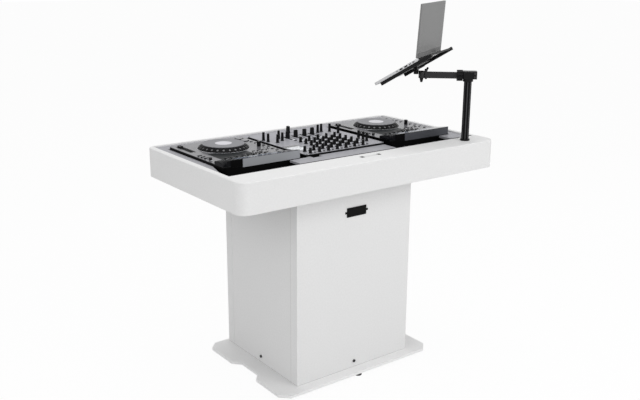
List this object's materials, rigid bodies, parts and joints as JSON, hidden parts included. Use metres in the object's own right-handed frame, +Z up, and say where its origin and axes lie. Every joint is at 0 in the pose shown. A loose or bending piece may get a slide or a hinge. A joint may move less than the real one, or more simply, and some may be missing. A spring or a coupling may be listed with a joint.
{
  "type": "dj booth",
  "caption": "White DJ booth: a pedestal on a floor plate carries a rounded tray with media players and a mixer, and a laptop on a swivelling pole stand.",
  "frame": {"origin": "on the floor under the middle of the tray's outline", "axes": "+Z up; X along the tray's width with the laptop stand at the +X end; -Y towards the audience, +Y towards the DJ"},
  "size_m": [1.2, 0.686, 1.4406],
  "materials": {
    "white_lacquer": "fine-grained satin lacquer",
    "bare_timber": "bare timber",
    "black_timber": "black stain",
    "deck_grey": "grey satin laminate",
    "black_steel": "black satin",
    "black_plate": "black gloss",
    "pale_plate": "pale satin",
    "rubber_feet": "matte",
    "screen_glass": "dark gloss",
    "key_plastic": "matte",
    "hub_white": "pale gloss",
    "case_black": "black satin",
    "faceplate_grey": "grey satin",
    "knob_black": "matte",
    "stand_black": "black satin powder coat",
    "laptop_silver": "brushed satin",
    "laptop_grey": "grey satin",
    "cover_grey": "dark grey satin",
    "housing_grey": "dark grey satin",
    "jog_black": "black gloss",
    "jog_metal": "spun metal",
    "button_metal": "satin chrome"
  },
  "bodies": {
    "booth": {"base_plate": "white_lacquer", "deck_panels": "deck_grey", "gear_feet": "rubber_feet", "gear_screens": "screen_glass", "left_display_housing": "housing_grey", "left_player_case": "case_black", "left_player_cover": "cover_grey", "levelling_feet": "black_steel", "mixer_case": "case_black", "mixer_faceplate": "faceplate_grey", "mixer_knobs": "knob_black", "name_plate": "black_plate", "panel_bolts": "black_steel", "pedestal_cleats": "bare_timber", "pedestal_corner_posts": "white_lacquer", "pedestal_front_panel": "white_lacquer", "pedestal_rear_panel": "white_lacquer", "pedestal_side_panels": "white_lacquer", "player_jog_hubs": "hub_white", "player_keys": "key_plastic", "pole_socket": "stand_black", "right_display_housing": "housing_grey", "right_player_case": "case_black", "right_player_cover": "cover_grey", "rim_plate": "pale_plate", "stand_pole": "stand_black", "tray_battens": "black_timber", "tray_floor": "black_timber", "tray_front_rail": "white_lacquer", "tray_rear_rail": "white_lacquer", "tray_side_rails": "white_lacquer"},
    "collar": {"height_collar": "stand_black"},
    "arm": {"swivel_clamp": "stand_black", "arm_lock_ring": "stand_black", "stand_arm": "stand_black"},
    "head": {"swivel_head": "stand_black"},
    "rack": {"tilt_knob": "stand_black", "rack_rails": "stand_black", "rack_crossbar": "stand_black", "laptop_base": "laptop_silver", "laptop_keys": "key_plastic"},
    "lid": {"laptop_lid": "laptop_grey", "laptop_screen": "screen_glass"},
    "left_jog": {"left_jog_wheel": "jog_black", "left_jog_plate": "jog_metal"},
    "left_tempo": {"left_tempo_fader": "knob_black"},
    "left_play": {"left_play_button": "button_metal"},
    "left_cue": {"left_cue_button": "button_metal"},
    "left_selector": {"left_selector_knob": "knob_black"},
    "right_jog": {"right_jog_wheel": "jog_black", "right_jog_plate": "jog_metal"},
    "right_tempo": {"right_tempo_fader": "knob_black"},
    "right_play": {"right_play_button": "button_metal"},
    "right_cue": {"right_cue_button": "button_metal"},
    "right_selector": {"right_selector_knob": "knob_black"},
    "channel_1": {"channel_fader_1": "knob_black"},
    "channel_2": {"channel_fader_2": "knob_black"},
    "channel_3": {"channel_fader_3": "knob_black"},
    "channel_4": {"channel_fader_4": "knob_black"},
    "crossfade": {"crossfader": "knob_black"}
  },
  "joints": [
    {"name": "stand_height", "type": "slide", "parent": "booth", "child": "collar", "axis": [0, 0, 1], "range_m": [-0.08, 0]},
    {"name": "arm_swing", "type": "hinge", "parent": "collar", "child": "arm", "pos_m": [0.485, -0.282, 1.1625], "axis": [0, 0, 1], "range_deg": [-120, 120]},
    {"name": "head_swivel", "type": "hinge", "parent": "arm", "child": "head", "pos_m": [0.34944, -0.16207, 1.1625], "axis": [0, 0, 1], "range_deg": [-45, 75]},
    {"name": "rack_tilt", "type": "hinge", "parent": "head", "child": "rack", "pos_m": [0.33296, -0.14749, 1.1851], "axis": [0.8712, 0.4909, 0], "range_deg": [-20, 28]},
    {"name": "laptop_lid_hinge", "type": "hinge", "parent": "rack", "child": "lid", "pos_m": [0.36985, -0.17628, 1.24476], "axis": [0.8712, 0.4909, 0], "range_deg": [-125, 20]},
    {"name": "left_jog_spin", "type": "hinge", "parent": "booth", "child": "left_jog", "pos_m": [-0.378, 0.137, 0.91], "axis": [0, 0, 1], "continuous": true},
    {"name": "left_tempo_slide", "type": "slide", "parent": "booth", "child": "left_tempo", "axis": [0, 1, 0], "range_m": [-0.094, 0.006]},
    {"name": "left_play_press", "type": "slide", "parent": "booth", "child": "left_play", "axis": [0, 0, -1], "range_m": [0, 0.0015], "stiffness_N_per_m": 600, "springref_m": -0.001},
    {"name": "left_cue_press", "type": "slide", "parent": "booth", "child": "left_cue", "axis": [0, 0, -1], "range_m": [0, 0.0015], "stiffness_N_per_m": 600, "springref_m": -0.001},
    {"name": "left_selector_turn", "type": "hinge", "parent": "booth", "child": "left_selector", "pos_m": [-0.256, 0.081, 0.91], "axis": [0, 0, 1], "continuous": true},
    {"name": "right_jog_spin", "type": "hinge", "parent": "booth", "child": "right_jog", "pos_m": [0.378, 0.137, 0.91], "axis": [0, 0, 1], "continuous": true},
    {"name": "right_tempo_slide", "type": "slide", "parent": "booth", "child": "right_tempo", "axis": [0, 1, 0], "range_m": [-0.094, 0.006]},
    {"name": "right_play_press", "type": "slide", "parent": "booth", "child": "right_play", "axis": [0, 0, -1], "range_m": [0, 0.0015], "stiffness_N_per_m": 600, "springref_m": -0.001},
    {"name": "right_cue_press", "type": "slide", "parent": "booth", "child": "right_cue", "axis": [0, 0, -1], "range_m": [0, 0.0015], "stiffness_N_per_m": 600, "springref_m": -0.001},
    {"name": "right_selector_turn", "type": "hinge", "parent": "booth", "child": "right_selector", "pos_m": [0.5, 0.081, 0.91], "axis": [0, 0, 1], "continuous": true},
    {"name": "channel_1_slide", "type": "slide", "parent": "booth", "child": "channel_1", "axis": [0, 1, 0], "range_m": [-0.028, 0.032]},
    {"name": "channel_2_slide", "type": "slide", "parent": "booth", "child": "channel_2", "axis": [0, 1, 0], "range_m": [-0.032, 0.028]},
    {"name": "channel_3_slide", "type": "slide", "parent": "booth", "child": "channel_3", "axis": [0, 1, 0], "range_m": [-0.03, 0.03]},
    {"name": "channel_4_slide", "type": "slide", "parent": "booth", "child": "channel_4", "axis": [0, 1, 0], "range_m": [-0.035, 0.025]},
    {"name": "crossfader_slide", "type": "slide", "parent": "booth", "child": "crossfade", "axis": [1, 0, 0], "range_m": [-0.022, 0.022]}
  ]
}
